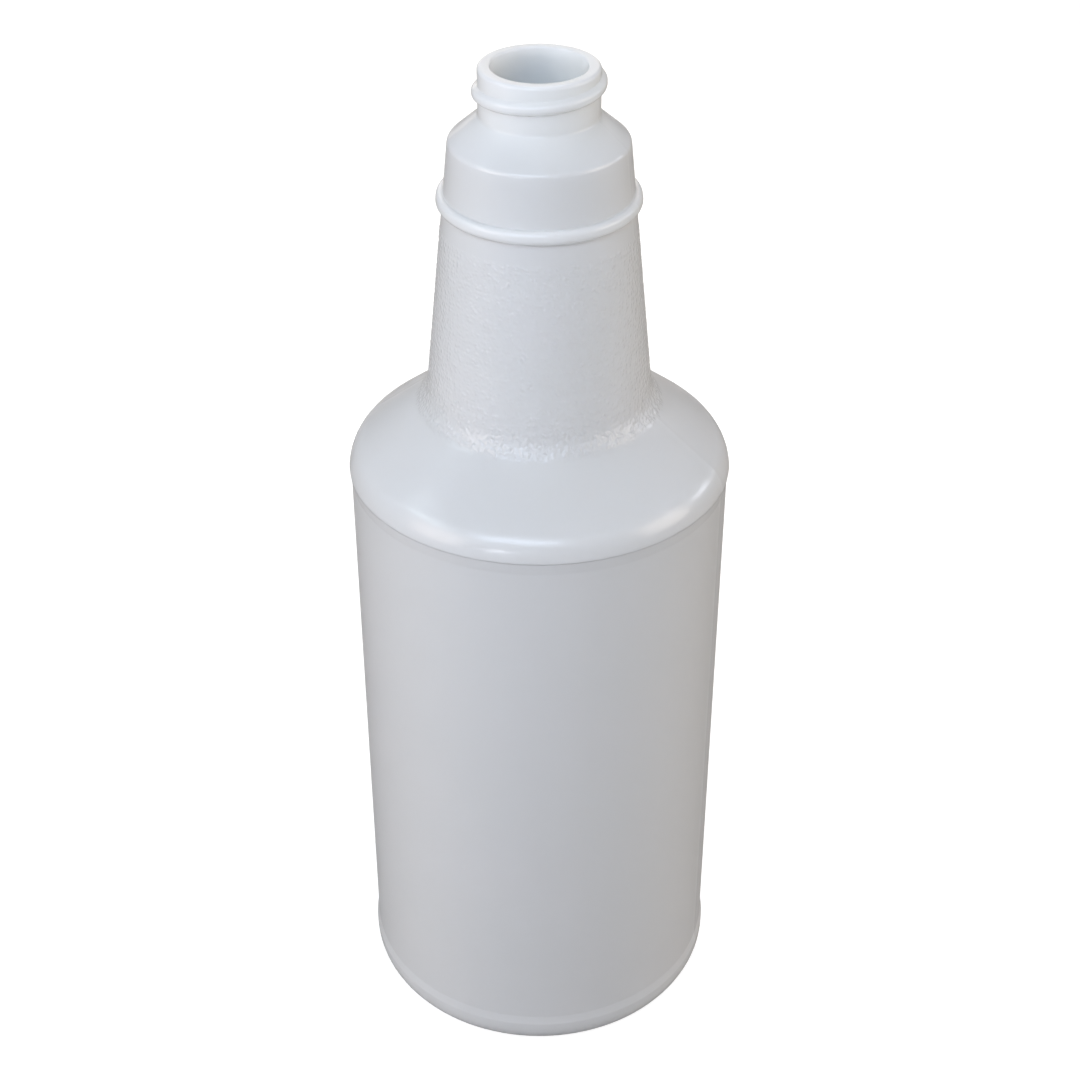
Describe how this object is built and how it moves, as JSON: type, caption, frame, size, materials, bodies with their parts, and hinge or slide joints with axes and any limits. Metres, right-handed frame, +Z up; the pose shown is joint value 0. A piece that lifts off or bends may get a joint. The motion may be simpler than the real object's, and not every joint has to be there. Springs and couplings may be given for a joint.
{
  "type": "graduated plastic bottle",
  "caption": "Bottle that holds and measures liquids, blown from natural polyethylene: threaded neck, tapered grip, round shoulder, and a cylindrical body with raised graduations on its back.",
  "frame": {"origin": "centre of the standing ring, on the surface that the bottle stands on", "axes": "+Z up the bottle's axis and out of the mouth, -Y towards the plain front"},
  "size_m": [0.086, 0.086, 0.24],
  "materials": {
    "natural_polyethylene": "natural, milky translucent, as blown, with a pebbled grip"
  },
  "bodies": {
    "root": {"bottle": "natural_polyethylene"}
  },
  "joints": []
}
